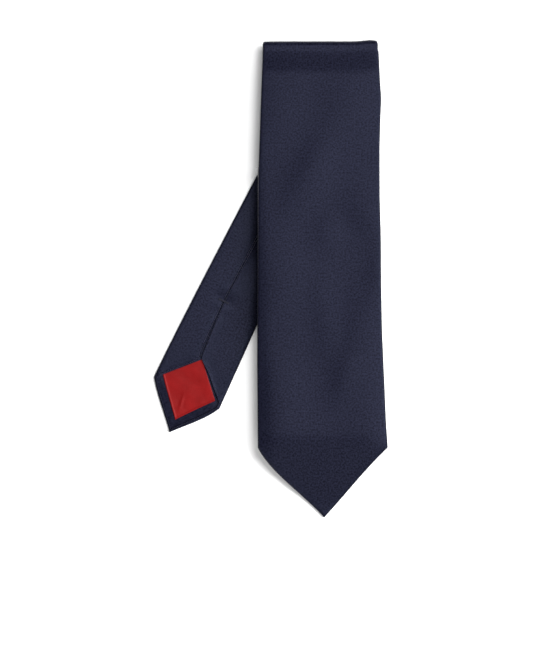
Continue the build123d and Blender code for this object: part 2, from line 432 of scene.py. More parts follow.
@dataclass
class Swell:
    """One gentle rise or hollow of draped cloth, longer one way than the other."""

    across: float
    along: float
    height: float
    width: float
    length: float
    turn: float = 0.0  # degrees, from straight down the tie towards its right side

    def lift(self, x: np.ndarray, v: np.ndarray) -> np.ndarray:
        """How far it lifts the cloth at the places (x, v)."""
        a = math.radians(self.turn)
        dx, dv = x - self.across, v - self.along
        p = dx * math.cos(a) - dv * math.sin(a)
        q = dx * math.sin(a) + dv * math.cos(a)
        return self.height * np.exp(-((p / self.width) ** 2) - (q / self.length) ** 2)


@dataclass
class Stretch:
    """One flat stretch of the folded tie: a silk tube round its interlining, seamed down its back.

    Distances run down the stretch from the first fold's outer face, or from the tail's fold line.
    """

    name: str
    origin: tuple[float, float]
    turn: float
    side: Side
    top: float
    bottom: float
    left: Curve
    right: Curve
    height: Curve
    tilt: float = 0.0  # slant of the fold line at the stretch's top, fading out down the stretch
    corner_rise: float = 0.0  # how far the right end of that fold line stands up
    tip_depth: float = 0.0
    tip_shift: float = 0.0
    bulge: tuple[float, float] = (0.0, 0.0)
    thickness: float = 2.4
    swells: list[Swell] = field(default_factory=list)
    side_droop: Curve | None = None  # half the width of what carries it, at each distance
    seam: Curve = staticmethod(lambda v: 0 * v)
    seam_room: Curve = staticmethod(lambda v: 0 * v + 0.3)
    lap: float = 0.18
    slit: float = 0.75  # how deep the gap between the two flaps is
    spacing: float = 2.2
    droop: float = 2.6  # how far a side that nothing carries sinks
    droop_reach: float = 26.0  # the width over which it does
    corner: tuple[float, float] = (30.5, 6.0)  # middle and width of the raised corner
    canvas_inset: float = 2.2  # from the silk's edge to the canvas inside
    face_columns: int = 44
    flap_columns: int = 16
    edge_columns: int = 7
    start_length: float = 0.0
    length_sign: int = 1

    @property
    def point(self) -> float:
        """Where the stretch ends: its point, or the fold at its lower end."""
        return self.bottom + self.tip_depth

    @property
    def apex(self) -> float:
        """Where the two flaps part, above the shoulders of a point."""
        shoulder = np.array([self.bottom])
        return self.bottom - float(self.left(shoulder)[0] + self.right(shoulder)[0]) / 2

    def edges(self, v: np.ndarray) -> tuple[np.ndarray, np.ndarray]:
        """How far the left and right edges are from the axis, drawing in to the point."""
        left, right = self.left(v), self.right(v)
        if self.tip_depth:
            reach = np.linspace(self.top, self.point, 1600)
            share = np.clip((self.point - reach) / self.tip_depth, 0, 1)
            share = np.interp(v, reach, share)
            soft = 0.02  # how far the shoulder's corner is rounded, as a share
            share = 1 - (share < 1) * (1 - share) * ease((1 - share) / soft + 0.3)
            round_left, round_right = (share + bulge * share**2 * (1 - share) for bulge in self.bulge)
            left, right = left * round_left, right * round_right
        return np.maximum(left, 0.25), np.maximum(right, 0.25)

    def lean(self, v: np.ndarray) -> np.ndarray:
        """How far the axis has moved to the right at each distance."""
        return self.tip_shift * ease((v - self.bottom) / self.tip_depth) if self.tip_depth else 0 * v

    def lift(self, x: np.ndarray, v: np.ndarray) -> np.ndarray:
        """The draped cloth's rise above its level course."""
        total = sum((swell.lift(x, v) for swell in self.swells), 0 * x)
        if self.side_droop is not None:
            past = np.abs(x) - self.side_droop(v)
            total = total - self.droop * ease(past / self.droop_reach) * ease((v - 6) / 30)
        return total

    def place(self, x: np.ndarray, v: np.ndarray, depth: np.ndarray) -> np.ndarray:
        """Points of the draped cloth.

        Args:
            x: distances to the right of the axis.
            v: distances down the stretch.
            depth: distances from the mid-plane towards the tie's back.

        Returns:
            Points in millimetres, in the row frame.
        """
        x = x + self.lean(v)
        z = self.height(v) + self.lift(x, v) + depth * self.side.value
        fade = np.clip(1 - (v - self.top) / 60.0, 0, 1)
        raised = self.corner_rise * np.exp(-(((x - self.corner[0]) / self.corner[1]) ** 2))
        y = -v + (self.tilt * x + raised) * fade
        c, s = math.cos(self.turn), math.sin(self.turn)
        return np.stack([self.origin[0] + x * c - y * s, self.origin[1] + x * s + y * c, z], axis=-1)

    def rows(self, first: float, last: float) -> np.ndarray:
        """Distances of the mesh's rows, closer together towards a point."""
        coarse = np.arange(first, last, self.spacing)
        if not self.tip_depth:
            return np.append(coarse, last)
        fine = np.arange(self.apex - 4, last - 0.4, 0.7)
        return np.append(np.append(coarse[coarse < self.apex - 4.5], fine), last - 0.15)

    def section(self, v: np.ndarray) -> tuple[np.ndarray, np.ndarray, np.ndarray]:
        """The tube's outline across each row.

        Args:
            v: distances of the rows.

        Returns:
            The places across and depths of its points, and their distance round the tube.
        """
        half = self.thickness / 2
        left, right = self.edges(v)
        narrow = np.minimum(left, right)
        roll = np.minimum(half * 1.25, 0.55 * narrow)[:, None]
        left, right, v = left[:, None], right[:, None], v[:, None]
        centre, room = self.seam(v), self.seam_room(v)
        floor = half - self.slit + 0 * v
        if self.tip_depth:
            open_by = np.maximum(v - self.apex, 0)
            room = np.maximum(np.minimum(room + open_by, narrow[:, None] - roll - 0.3), 0.05)
            centre = centre * (1 - ease((v - self.apex) / 8))
            floor = floor + (0.1 - floor) * ease((v - self.apex + 1) / 4)
        across, depth = [], []
        s = np.linspace(0, 1, self.face_columns)[None]
        across.append(-(left - roll) + s * (left + right - 2 * roll))
        depth.append(-half * (1 - 0.10 * np.abs(2 * s - 1) ** 5) + 0 * v)
        angle = np.linspace(-math.pi / 2, math.pi / 2, self.edge_columns + 2)[None, 1:-1]
        across.append(right - roll + roll * np.cos(angle))
        depth.append(half * np.sin(angle) * 0.95 + 0 * v)
        s = np.linspace(0, 1, self.flap_columns)[None]
        puff = 0.16 * np.sin(math.pi * s)
        across.append((right - roll) * (1 - s) + (centre + room) * s)
        depth.append(half * 0.93 + puff + self.lap * s**8 - 0.2 * s**30 + 0 * v)
        s = np.linspace(0, 1, 12)[None]
        inner = np.maximum(room - 0.12, 0.02)
        across.append(centre + inner * (1 - 2 * s))
        depth.append(floor + 0 * s)
        s = np.linspace(0, 1, self.flap_columns)[None]
        across.append((centre - room) * (1 - s) - (left - roll) * s)
        depth.append(half * 0.93 + puff - 0.2 * (1 - s) ** 10 + 0 * v)
        across.append(-(left - roll) - roll * np.cos(angle[:, ::-1]))
        depth.append(half * np.sin(angle[:, ::-1]) * 0.95 + 0 * v)
        x, d = np.concatenate(across, axis=1), np.concatenate(depth, axis=1)
        x2, d2 = np.concatenate([x, x[:, :1]], axis=1), np.concatenate([d, d[:, :1]], axis=1)
        steps = np.hypot(np.diff(x2, axis=1), np.diff(d2, axis=1))
        around = np.concatenate([0 * v, np.cumsum(steps, axis=1)], axis=1) - left
        return x, self.pinched(x, v, d), around

    def pinched(self, x: np.ndarray, v: np.ndarray, depth: np.ndarray) -> np.ndarray:
        """The depths after any local pinch of the back; a plain stretch has none."""
        return depth

    def flat_place(self, around: np.ndarray, v: np.ndarray) -> np.ndarray:
        """Flat places on the cloth, in metres, so that the weave runs on from stretch to stretch."""
        along = self.start_length + self.length_sign * (v - self.top)
        return np.stack([around, along + 0 * around], axis=-1) * MM

    def shell(self, first: float, last: float, silk: bpy.types.Material) -> bpy.types.Object:
        """The silk tube between two distances."""
        v = self.rows(first, last)
        x, depth, around = self.section(v)
        rings = self.place(x, v[:, None] + 0 * x, depth)
        return make_piece(f"{self.name}_silk", rings, self.flat_place(around, v[:, None]), silk)

    def slab(
        self,
        name: str,
        v: np.ndarray,
        left: np.ndarray,
        right: np.ndarray,
        depths: tuple[float, float],
        material: bpy.types.Material,
        columns: int = 24,
        ripple: Callable[[np.ndarray, np.ndarray], np.ndarray] | None = None,
    ) -> bpy.types.Object:
        """A thin closed cloth that lies along the stretch.

        Args:
            name: its name.
            v: distances of its rows.
            left: how far its left edge is from the axis at each row.
            right: how far its right edge is from the axis at each row.
            depths: its lower and upper depth, counted towards the tie's back.
            material: its finish.
            columns: points across it.
            ripple: an extra depth at each place, or None.

        Returns:
            The piece.
        """
        low, high = depths
        s = np.linspace(0, 1, columns)[None]
        left, right = left[:, None], right[:, None]
        s = 0.5 - 0.5 * np.cos(math.pi * s)
        one = -left + s * (left + right)
        x = np.concatenate([one, one[:, ::-1]], axis=1)
        rim = 1 - np.abs(2 * s - 1) ** 24
        middle = (low + high) / 2
        under, over = middle + (low - middle) * rim, middle + (high - middle) * rim
        depth = np.concatenate([under, over[:, ::-1]], axis=1)
        depth = depth + 0 * x
        grid = v[:, None] + 0 * x
        if ripple is not None:
            depth = depth + ripple(x, grid)
        rings = self.place(x, grid, depth)
        around = np.concatenate([x, x[:, :1]], axis=1)
        return make_piece(name, rings, self.flat_place(around, v[:, None]), material)

    def interlining(self, first: float, last: float, canvas: bpy.types.Material) -> bpy.types.Object:
        """The wool canvas inside the tube."""
        last = last - 4.0 if self.tip_depth else last
        v = self.rows(first, last) if not self.tip_depth else np.arange(first, last, self.spacing)
        left, right = self.edges(v + (3.0 if self.tip_depth else 0.0))
        left, right = np.maximum(left - self.canvas_inset, 0.4), np.maximum(right - self.canvas_inset, 0.4)
        return self.slab(f"{self.name}_canvas", v, left, right, (-0.6, -0.1), canvas)


@dataclass
class TailStretch(Stretch):
    """The tail, whose back is pinched by its bar tack."""

    tack: float = 131.1

    def pinched(self, x: np.ndarray, v: np.ndarray, depth: np.ndarray) -> np.ndarray:
        """The depths, drawn down round the tack and puckered beside it."""
        centre = self.seam(v)
        near = np.exp(-(((v - self.tack) / 2.4) ** 2) - ((x - centre) / 5.0) ** 2)
        beside = np.exp(-(((v - self.tack) / 9.0) ** 2) - ((x - centre) / 7.0) ** 2)
        pucker = 0.28 * beside * np.sin((v - self.tack) / 1.9)
        return depth - (depth > 0.3) * (0.75 * near - pucker)


@dataclass
class Fold:
    """Where the tie turns round from one stretch to the next."""

    name: str
    upper: Stretch
    lower: Stretch
    joint: str
    down: bool  # True at a fold at the lower end of its stretches
    lead: float = 3.0
    steps: int = 26
    draw_in: float = 0.004  # how far the fold's ends draw in, as a share of its width

    def ring_points(
        self, x: tuple[np.ndarray, np.ndarray], depth: tuple[np.ndarray, np.ndarray], around: np.ndarray
    ) -> tuple[np.ndarray, np.ndarray]:
        """Sweeps one outline round the fold.

        Args:
            x: places across of the outline, above and below the fold.
            depth: its depths towards the tie's back, above and below.
            around: its distances round the tube.

        Returns:
            Rings of points and their flat places.
        """
        upper, lower = self.upper, self.lower
        v0 = upper.bottom if self.down else upper.top
        v1 = lower.bottom if self.down else lower.top
        out = 1.0 if self.down else -1.0
        edge = np.array([v0])
        top_z, low_z = float(upper.height(edge)[0]), float(self.lower_height())
        middle, radius = (top_z + low_z) / 2, (top_z - low_z) / 2
        rings, flats = [], []
        run = upper.start_length + upper.length_sign * (v0 - upper.top)
        way = upper.length_sign * out
        leads = np.linspace(-self.lead, 0, 4)[:-1]
        turns = np.linspace(0, math.pi, self.steps)
        stops = [(lead, 0.0) for lead in leads] + [(0.0, t) for t in turns]
        stops += [(-lead, math.pi) for lead in leads[::-1]]
        for lead, t in stops:
            lean = -abs(lead)
            share = t / math.pi
            rise = (depth[0] * (1 - share) + depth[1] * share) * upper.side.value
            reach = out * (lean + (radius + rise) * math.sin(t))
            wide = (x[0] * (1 - share) + x[1] * share) * (1 - self.draw_in * math.sin(t) ** 2)
            point = upper.place(wide, v0 + reach, 0 * wide) * (1 - share)
            point = point + lower.place(wide, v1 + reach, 0 * wide) * share
            lift = upper.lift(wide, v0 + 0 * wide) * ((1 + math.cos(t)) / 2)
            point[..., 2] = middle + (radius + rise) * math.cos(t) + lift
            if lean and t == 0:
                point[..., 2] = upper.height(v0 + reach) + rise + upper.lift(wide, v0 + reach)
            elif lean:
                point[..., 2] = lower.height(v1 + reach) - rise + lower.lift(wide, v1 + reach)
            rings.append(point)
            arc = radius * t + (lean if t == 0 else -lean)
            flats.append(np.stack([around, 0 * around + run + way * arc], axis=-1) * MM)
        return np.stack(rings), np.stack(flats)

    def lower_height(self) -> float:
        """The mid-height of the lower stretch at this fold."""
        v = self.lower.bottom if self.down else self.lower.top
        return float(self.lower.height(np.array([v]))[0])

    def build(self, cloths: Cloths) -> list[bpy.types.Object]:
        """Makes the turned silk and canvas round the fold, in place of its CAD nodes.

        Args:
            cloths: the finishes.

        Returns:
            The two pieces.
        """
        upper = self.upper
        v0 = np.array([upper.bottom if self.down else upper.top])
        x, depth, around = upper.section(v0)
        below = self.lower.section(np.array([self.lower.bottom if self.down else self.lower.top]))
        rings, flats = self.ring_points((x[0], below[0][0]), (depth[0], below[1][0]), around[0])
        silk = make_piece(f"{self.name}_silk", rings, flats, cloths.silk)
        left, right = upper.edges(v0)
        s = np.linspace(-left[0] + upper.canvas_inset, right[0] - upper.canvas_inset, 20)
        strip = np.concatenate([s, s[::-1]])
        depths = np.concatenate([np.full(20, -0.6), np.full(20, -0.1)])
        rings, flats = self.ring_points((strip, strip), (depths, depths), np.append(strip, strip[0]))
        canvas = make_piece(f"{self.name}_canvas", rings, flats, cloths.canvas)
        top_z, low_z = float(upper.height(v0)[0]), self.lower_height()
        half = upper.thickness / 2 + 0.05
        start, end = (0, 0, (top_z - half) * MM), (0, 0, (low_z + half) * MM)
        for piece, node in ((silk, "shell"), (canvas, "interlining")):
            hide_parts(f"{self.name}_{node}")
            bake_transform(piece)
            widths = float(left[0] + right[0]) - (0.0 if node == "shell" else 2 * upper.canvas_inset)
            flat = (widths * MM, (math.pi * (top_z - low_z) / 2 + 2 * self.lead) * MM)
        return [silk, canvas]


# ---------------------------------------------------------------- stitches and trim


@dataclass
class StitchRow:
    """Equal stitches set along a path, grown by Geometry Nodes."""

    name: str
    path: np.ndarray  # points in millimetres
    spacing: float
    length: float
    thickness: float
    across: bool = False

    def tree(self, material: bpy.types.Material) -> bpy.types.NodeTree:
        """Builds the node tree that sets a stitch at each step of the path."""
        tree = bpy.data.node_groups.new(f"{self.name}_stitches", "GeometryNodeTree")
        face = tree.interface
        face.new_socket("Geometry", in_out="OUTPUT", socket_type="NodeSocketGeometry")
        face.new_socket("Geometry", in_out="INPUT", socket_type="NodeSocketGeometry")
        for label in ("Spacing", "Stitch Length", "Thickness", "Turn"):
            face.new_socket(label, in_out="INPUT", socket_type="NodeSocketFloat")

        node = partial(add_node, tree)
        given = node("NodeGroupInput", {}, {}).outputs
        curve = node("GeometryNodeMeshToCurve", {}, {"Mesh": given["Geometry"]}).outputs[0]
        steps = node(
            "GeometryNodeResampleCurve", {"mode": "LENGTH"}, {"Curve": curve, "Length": given["Spacing"]}
        ).outputs[0]
        bead = node("GeometryNodeMeshUVSphere", {}, {"Segments": 6, "Rings": 5, "Radius": 0.5}).outputs[0]
        sides = {0: given["Stitch Length"], 1: given["Thickness"], 2: given["Thickness"]}
        size = node("ShaderNodeCombineXYZ", {}, sides).outputs[0]
        tangent = node("GeometryNodeInputTangent", {}, {}).outputs[0]
        aim = node("FunctionNodeAlignRotationToVector", {"axis": "X"}, {"Vector": tangent}).outputs[0]
        placed = node(
            "GeometryNodeInstanceOnPoints",
            {},
            {"Points": steps, "Instance": bead, "Rotation": aim, "Scale": size},
        ).outputs[0]
        spin = node("ShaderNodeCombineXYZ", {}, {2: given["Turn"]}).outputs[0]
        turned = node("GeometryNodeRotateInstances", {}, {"Instances": placed, "Rotation": spin}).outputs[0]
        real = node("GeometryNodeRealizeInstances", {}, {"Geometry": turned}).outputs[0]
        done = node("GeometryNodeSetMaterial", {}, {"Geometry": real, "Material": material}).outputs[0]
        node("NodeGroupOutput", {}, {"Geometry": done})
        return tree

    def build(self, material: bpy.types.Material) -> bpy.types.Object:
        """Grows the stitches and turns them into a plain mesh.

        Args:
            material: the thread's finish.

        Returns:
            One object of all the stitches.
        """
        mesh = bpy.data.meshes.new(f"{self.name}_path")
        mesh.from_pydata((self.path * MM).tolist(), [(n, n + 1) for n in range(len(self.path) - 1)], [])
        line = bpy.data.objects.new(f"{self.name}_path", mesh)
        bpy.context.scene.collection.objects.link(line)
        tree = self.tree(material)
        grow = line.modifiers.new("stitches", "NODES")
        grow.node_group = tree
        turn = math.pi / 2 if self.across else 0.0
        wanted = {
            "Spacing": self.spacing * MM,
            "Stitch Length": self.length * MM,
            "Thickness": self.thickness * MM,
            "Turn": turn,
        }
        for item in tree.interface.items_tree:
            if item.in_out == "INPUT" and item.name in wanted:
                grow[item.identifier] = wanted[item.name]
        graph = bpy.context.evaluated_depsgraph_get()
        made = bpy.data.meshes.new_from_object(line.evaluated_get(graph))
        line.modifiers.clear()
        bpy.data.objects.remove(line)
        made.name = self.name
        made.materials.clear()
        made.materials.append(material)
        made.polygons.foreach_set("material_index", [0] * len(made.polygons))
        piece = bpy.data.objects.new(self.name, made)
        bpy.context.scene.collection.objects.link(piece)
        for polygon in made.polygons:
            polygon.use_smooth = True
        return piece


def joined(name: str, pieces: Sequence[bpy.types.Object]) -> bpy.types.Object:
    """Several objects of one finish made one, under a new name."""
    finish = pieces[0].data.materials[0]
    work = bmesh.new()
    for piece in pieces:
        work.from_mesh(piece.data)
        bpy.data.objects.remove(piece)
    mesh = bpy.data.meshes.new(name)
    work.to_mesh(mesh)
    work.free()
    mesh.materials.append(finish)
    result = bpy.data.objects.new(name, mesh)
    bpy.context.scene.collection.objects.link(result)
    return result


# ---------------------------------------------------------------- the tie


@dataclass
class Frame:
    """Where the CAD frame has the tie's parts, in millimetres."""

    blade_x: float
    blade_top: float
    blade_length: float
    heights: dict[str, float]
    lower_fold: float
    upper_fold: float
    first_fold: float
    sunk: tuple[float, float]
    tail_fold: float
    swing: float

    @classmethod
    def read(cls, frame: dict[str, Any]) -> "Frame":
        """Measures the loaded frame's nodes and joints."""
        box = {name: [np.array(corner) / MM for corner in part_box(name)] for name in frame["nodes"]}
        blade, ring = box["front_blade_shell"], box["fold_1_shell"]
        top = ring[1][1]
        flat = ("second_layer_shell", "third_layer_neck_panel", "fourth_layer_shell")
        flat += ("fifth_layer_neck_panel", "tail_shell")
        half = (box["tail_shell"][1][2] - box["tail_shell"][0][2]) / 2
        names = ("second_layer", "third_layer", "fourth_layer", "fifth_layer", "tail")
        heights = {n: box[node][1][2] - half for n, node in zip(names, flat)}
        heights["front_blade"] = blade[1][2] - half
        joint = next(j for j in frame["joints"] if j["name"] == "fold_5")
        swing = 2 * math.atan2(-joint["axis"][1], joint["axis"][0])
        reach = math.pi / 4 * (heights["fifth_layer"] - heights["tail"])
        crossing = joint["pos_m"][1] / MM - reach * math.cos(swing / 2)
        return cls(
            blade_x=(blade[0][0] + blade[1][0]) / 2,
            blade_top=top,
            blade_length=top - blade[0][1],
            heights=heights,
            lower_fold=top - box["third_layer_interlining"][0][1],
            upper_fold=top - box["third_layer_interlining"][1][1],
            first_fold=top - blade[1][1],
            sunk=(ring[1][2] - half, ring[0][2] + half),
            tail_fold=top - crossing,
            swing=swing,
        )


@dataclass
class Tie:
    """The whole tie: six stretches, five folds and the trim."""

    frame: Frame
    cloths: Cloths
    tip_depth: float = 42.7
    tail_tip_depth: float = 25.6
    tail_shoulder: float = 192.1
    hidden_widths: tuple[float, ...] = (73.0, 56.5, 41.5, 35.0, 35.0)
    tail_width: float = 45.0
    lead: float = 3.0
    tail_tack: float = 131.1
    front_tack: float = 176.0
    keeper_place: float = 100.0
    maker_place: float = 125.0
    care_place: float = 76.7
    pieces: dict[str, bpy.types.Object] = field(default_factory=dict)

    def stretches(self) -> dict[str, Stretch]:
        """Lays out the six stretches from the CAD frame."""
        f, w, h = self.frame, self.hidden_widths, self.frame.heights
        origin = (f.blade_x, f.blade_top)
        shoulder = f.blade_length - self.tip_depth
        rise = (f.first_fold + 4.0, 18.9)
        blade_left = smoothed(
            [(0, 36.3), (14, 36.65), (38, 37.6), (62, 38.4), (88, 39.3), (150, 39.55), (200, 39.8),
             (252, 39.4)], 10
        )
        blade_right = smoothed(
            [(0, 34.5), (6, 35.4), (22, 36.1), (36, 37.0), (50, 36.4), (66, 36.0), (96, 36.05),
             (123, 36.8), (150, 36.9), (180, 37.5), (215, 39.1), (235, 39.9), (252, 41.1)], 5
        )
        z1, z2 = h["front_blade"], h["second_layer"]
        dip = smoothed([(rise[0], f.sunk[0] - z1), (rise[1], 0.0)], 2.5)
        drop = smoothed([(0, z1), (246.0, z1), (256.0, 13.0), (284.0, 2.6), (300.0, 1.35)], 9)
        second_height = smoothed([(rise[0], f.sunk[1]), (rise[1], z2)], 2.5)
        second = straight_edge(f.first_fold, w[0] / 2, f.lower_fold, w[1] / 2)
        second_left = smoothed([(0, 36.3), (5, 36.2), (40, 34.6), (f.lower_fold, w[1] / 2)], 4)
        second_right = smoothed([(0, 34.5), (5, 34.5), (40, 33.4), (f.lower_fold, w[1] / 2)], 4)
        third = straight_edge(f.upper_fold, w[2] / 2, f.lower_fold, w[1] / 2)
        fourth = straight_edge(f.upper_fold, w[2] / 2, f.lower_fold, w[3] / 2)
        fifth = straight_edge(f.tail_fold, w[4] / 2, f.lower_fold, w[3] / 2)
        tail = straight_edge(0, w[4] / 2, self.tail_shoulder, self.tail_width / 2)
        tail_left = smoothed(
            [(0, w[4] / 2), (55, 19.5), (118, 21.5), (149, 22.3), (180, 22.8), (192, 22.8)], 10
        )
        tail_seam = smoothed(
            [(0, -0.5), (88, -2.4), (self.tail_tack, -3.9), (152, -3.3), (166, -2.6), (173, -1.0),
             (182, 0)], 4
        )
        slope = math.tan(f.swing / 2)
        level = {n: (lambda v, z=z: 0 * v + z) for n, z in h.items()}
        swells = [
            Swell(-26, 42, 0.7, 16, 20),
            Swell(16, 40, 0.6, 18, 20),
            Swell(-6, 80, 1.1, 11, 30, -27),
            Swell(4, 118, 0.7, 9, 10),
            Swell(30, 108, 1.1, 12, 15, 50),
            Swell(39, 144, 1.0, 9, 22),
            Swell(3, 172, 0.6, 9, 30, 6),
            Swell(27, 178, 1.5, 15, 32, -10),
            Swell(15, 207, 0.7, 8, 16, -20),
            Swell(-24, 150, 0.7, 14, 30, 4),
            Swell(-24, 222, 0.9, 13, 30, 2),
            Swell(30, 236, 0.5, 14, 26, 6),
        ]
        tail_swells = [
            Swell(13, 100, 1.2, 10, 30),
            Swell(-6, 148, 0.4, 6, 18, -8),
            Swell(14, 168, 0.4, 8, 20),
        ]
        made = {
            "front_blade": Stretch(
                "front_blade", origin, 0.0, Side.DOWN, f.first_fold, shoulder, blade_left, blade_right,
                lambda v: dip(v) + drop(v), corner_rise=0.9, tip_depth=self.tip_depth + 0.8, tip_shift=1.7,
                bulge=(0.5, -0.12), swells=swells, side_droop=second, length_sign=-1,
            ),
            "second_layer": Stretch(
                "second_layer", origin, 0.0, Side.UP, f.first_fold, f.lower_fold, second_left, second_right,
                second_height, corner_rise=0.9,
            ),
            "third_layer": Stretch(
                "third_layer", origin, 0.0, Side.DOWN, f.upper_fold, f.lower_fold, third, third,
                level["third_layer"], length_sign=-1,
            ),
            "fourth_layer": Stretch(
                "fourth_layer", origin, 0.0, Side.UP, f.upper_fold, f.lower_fold, fourth, fourth,
                level["fourth_layer"],
            ),
            "fifth_layer": Stretch(
                "fifth_layer", origin, 0.0, Side.DOWN, f.tail_fold, f.lower_fold, fifth, fifth,
                level["fifth_layer"], tilt=-slope, length_sign=-1,
            ),
            "tail": TailStretch(
                "tail", (f.blade_x, f.blade_top - f.tail_fold), -f.swing, Side.UP, 0.0, self.tail_shoulder,
                tail_left, tail, level["tail"], tilt=slope, tip_depth=self.tail_tip_depth + 1.3,
                tip_shift=0.9, bulge=(0.2, 0.42),
                seam=tail_seam,
                seam_room=lambda v: 0.65 + 0.45 * ease((v - self.tail_tack - 4) / 30),
                swells=tail_swells, lap=0.9, slit=1.15, spacing=1.1, tack=self.tail_tack,
            ),
        }
        length = 0.0
        for name, piece in made.items():
            span = piece.point - piece.top
            if piece.length_sign < 0:
                piece.start_length = length + span
            else:
                piece.start_length = length
            length += span + math.pi * 1.35
        return made

    def add(self, piece: bpy.types.Object, body: str, slot: str, *nodes: str) -> None:
        """Sets a finished piece on its body, in place of its CAD nodes."""
        if nodes:
            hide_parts(*nodes)
        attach(piece, body)
        self.pieces[piece.name] = piece
        LOG.info("%s rides on %s", piece.name, body)

    def split_join(
        self, piece: bpy.types.Object, place: float, names: tuple[str, str]
    ) -> list[bpy.types.Object]:
        """Cuts a tube on the bias into two panels that meet at a seam.

        Args:
            piece: the whole tube.
            place: how far the join's middle is below the first fold.
            names: what the upper and the lower panel are called.

        Returns:
            The two closed panels.
        """
        centre = (self.frame.blade_x * MM, (self.frame.blade_top - place) * MM, 0)
        normal = np.array((-1, 1, 0)) / math.sqrt(2)
        halves = []
        for name, upper in zip(names, (True, False)):
            mesh = piece.data.copy()
            mesh.name = name
            work = bmesh.new()
            work.from_mesh(mesh)
            everything = work.verts[:] + work.edges[:] + work.faces[:]
            gap = normal * (0.06 * MM if upper else -0.06 * MM)
            cut = bmesh.ops.bisect_plane(
                work, geom=everything, plane_co=np.array(centre) + gap, plane_no=normal,
                clear_inner=upper, clear_outer=not upper,
            )
            rim = [edge for edge in cut["geom_cut"] if isinstance(edge, bmesh.types.BMEdge)]
            bmesh.ops.holes_fill(work, edges=rim, sides=0)
            work.to_mesh(mesh)
            work.free()
            halves.append(settle(bpy.data.objects.new(name, mesh)))
        bpy.data.objects.remove(piece)
        return halves

    def build_silk(self, made: dict[str, Stretch]) -> None:
        """Makes every stretch's silk tube and interlining, and the folds between them."""
        joins = {
            "third_layer": (140.0, ("third_layer_neck_panel", "third_layer_front_panel")),
            "fifth_layer": (150.0, ("fifth_layer_tail_panel", "fifth_layer_neck_panel")),
        }
        for name, stretch in made.items():
            first = stretch.top + self.lead
            last = stretch.point if stretch.tip_depth else stretch.bottom - self.lead
            silk = stretch.shell(first, last, self.cloths.silk)
            canvas = stretch.interlining(first, last, self.cloths.canvas)
            self.add(canvas, name, "interlining", f"{name}_interlining")
            self.declare(canvas, stretch, first, last, 2 * stretch.canvas_inset)
            if name not in joins:
                self.add(silk, name, "silk", f"{name}_shell")
                self.declare(silk, stretch, first, last, 0.0)
                continue
            place, nodes = joins[name]
            for panel, node in zip(self.split_join(silk, place, tuple(f"{n}_silk" for n in nodes)), nodes):
                self.add(panel, name, "silk", node)
                ends = (first, place) if node == nodes[0] else (place, last)
                self.declare(panel, stretch, *ends, 0.0)
        order = list(made.values())
        for count in range(5):
            name = f"fold_{count + 1}"
            fold = Fold(name, order[count], order[count + 1], name, count % 2 == 1, self.lead)
            for piece in fold.build(self.cloths):
                self.pieces[piece.name] = piece
                LOG.info("%s bends at %s", piece.name, fold.joint)

    def declare(
        self, piece: bpy.types.Object, stretch: Stretch, first: float, last: float, less: float
    ) -> None:
        """Works out the flat size and area of a stretch's piece, which are not kept."""
        v = np.linspace(first, last, 400)
        left, right = stretch.edges(v)
        widths = np.maximum(left + right - less, 0.1)
        area = float(widths.mean() * (last - first)) * MM * MM
        flat = (float(widths.max()) * MM, (last - first) * MM)

    def tipping(self, name: str, stretch: Stretch, hem: float, crease: Swell, node: str) -> None:
        """Makes the red lining of a point, over the hems and under the flaps.

        Args:
            name: the piece's name.
            stretch: the stretch that ends in the point.
            hem: from the point's edges to the lining.
            crease: a small ridge in it.
            node: the CAD node it stands for.
        """
        half_width = stretch.bottom - stretch.apex
        corner = math.atan2(half_width, stretch.tip_depth)
        low = stretch.point - hem / math.sin(corner)
        first = stretch.apex - 1.2
        v = np.append(np.arange(first, low, 0.5), low)
        hems = (low - v) * math.tan(corner)
        left = np.maximum(np.minimum(np.maximum((v - stretch.apex) * 0.94 + 0.5, 0.2), hems), 0.15)
        right = np.maximum(np.minimum(np.maximum((v - stretch.apex) * 0.94 - 0.4, 0.3), hems), 0.15)

        def ripple(x: np.ndarray, at: np.ndarray) -> np.ndarray:
            """The satin's soft waves, its rolled lower edges and one short crease."""
            inside = (low - at) * math.sin(corner) - np.abs(x) * math.cos(corner)
            roll = 0.32 * np.exp(-(((inside - 0.5) / 0.5) ** 2))
            waves = 0.10 * np.sin(x / 2.9 + at / 5.0) + 0.07 * np.sin(at / 2.3 - x / 6.0)
            return crease.lift(x, at) + waves + roll

        depths = (0.12, 0.52)
        piece = stretch.slab(name, v, left, right, depths, self.cloths.lining, 90, ripple)
        self.add(piece, stretch.name, "lining_satin", node)
        flat = (float((left + right).max()) * MM, (low - first) * MM)

    def seam_threads(self, made: dict[str, Stretch]) -> None:
        """Sets the slip stitches in every stretch's seam."""
        for name, stretch in made.items():
            last = stretch.apex if stretch.tip_depth else stretch.bottom - self.lead
            v = np.arange(stretch.top + self.lead + 1, last - 1, 1.5)
            depth = 0 * v + stretch.thickness / 2 - 1.0
            path = stretch.place(stretch.seam(v), v, depth)
            row = StitchRow(f"{name}_slip_stitches", path, 4.2, 2.6, 0.45)
            self.add(row.build(self.cloths.thread), name, "thread", f"{name}_seam_thread")

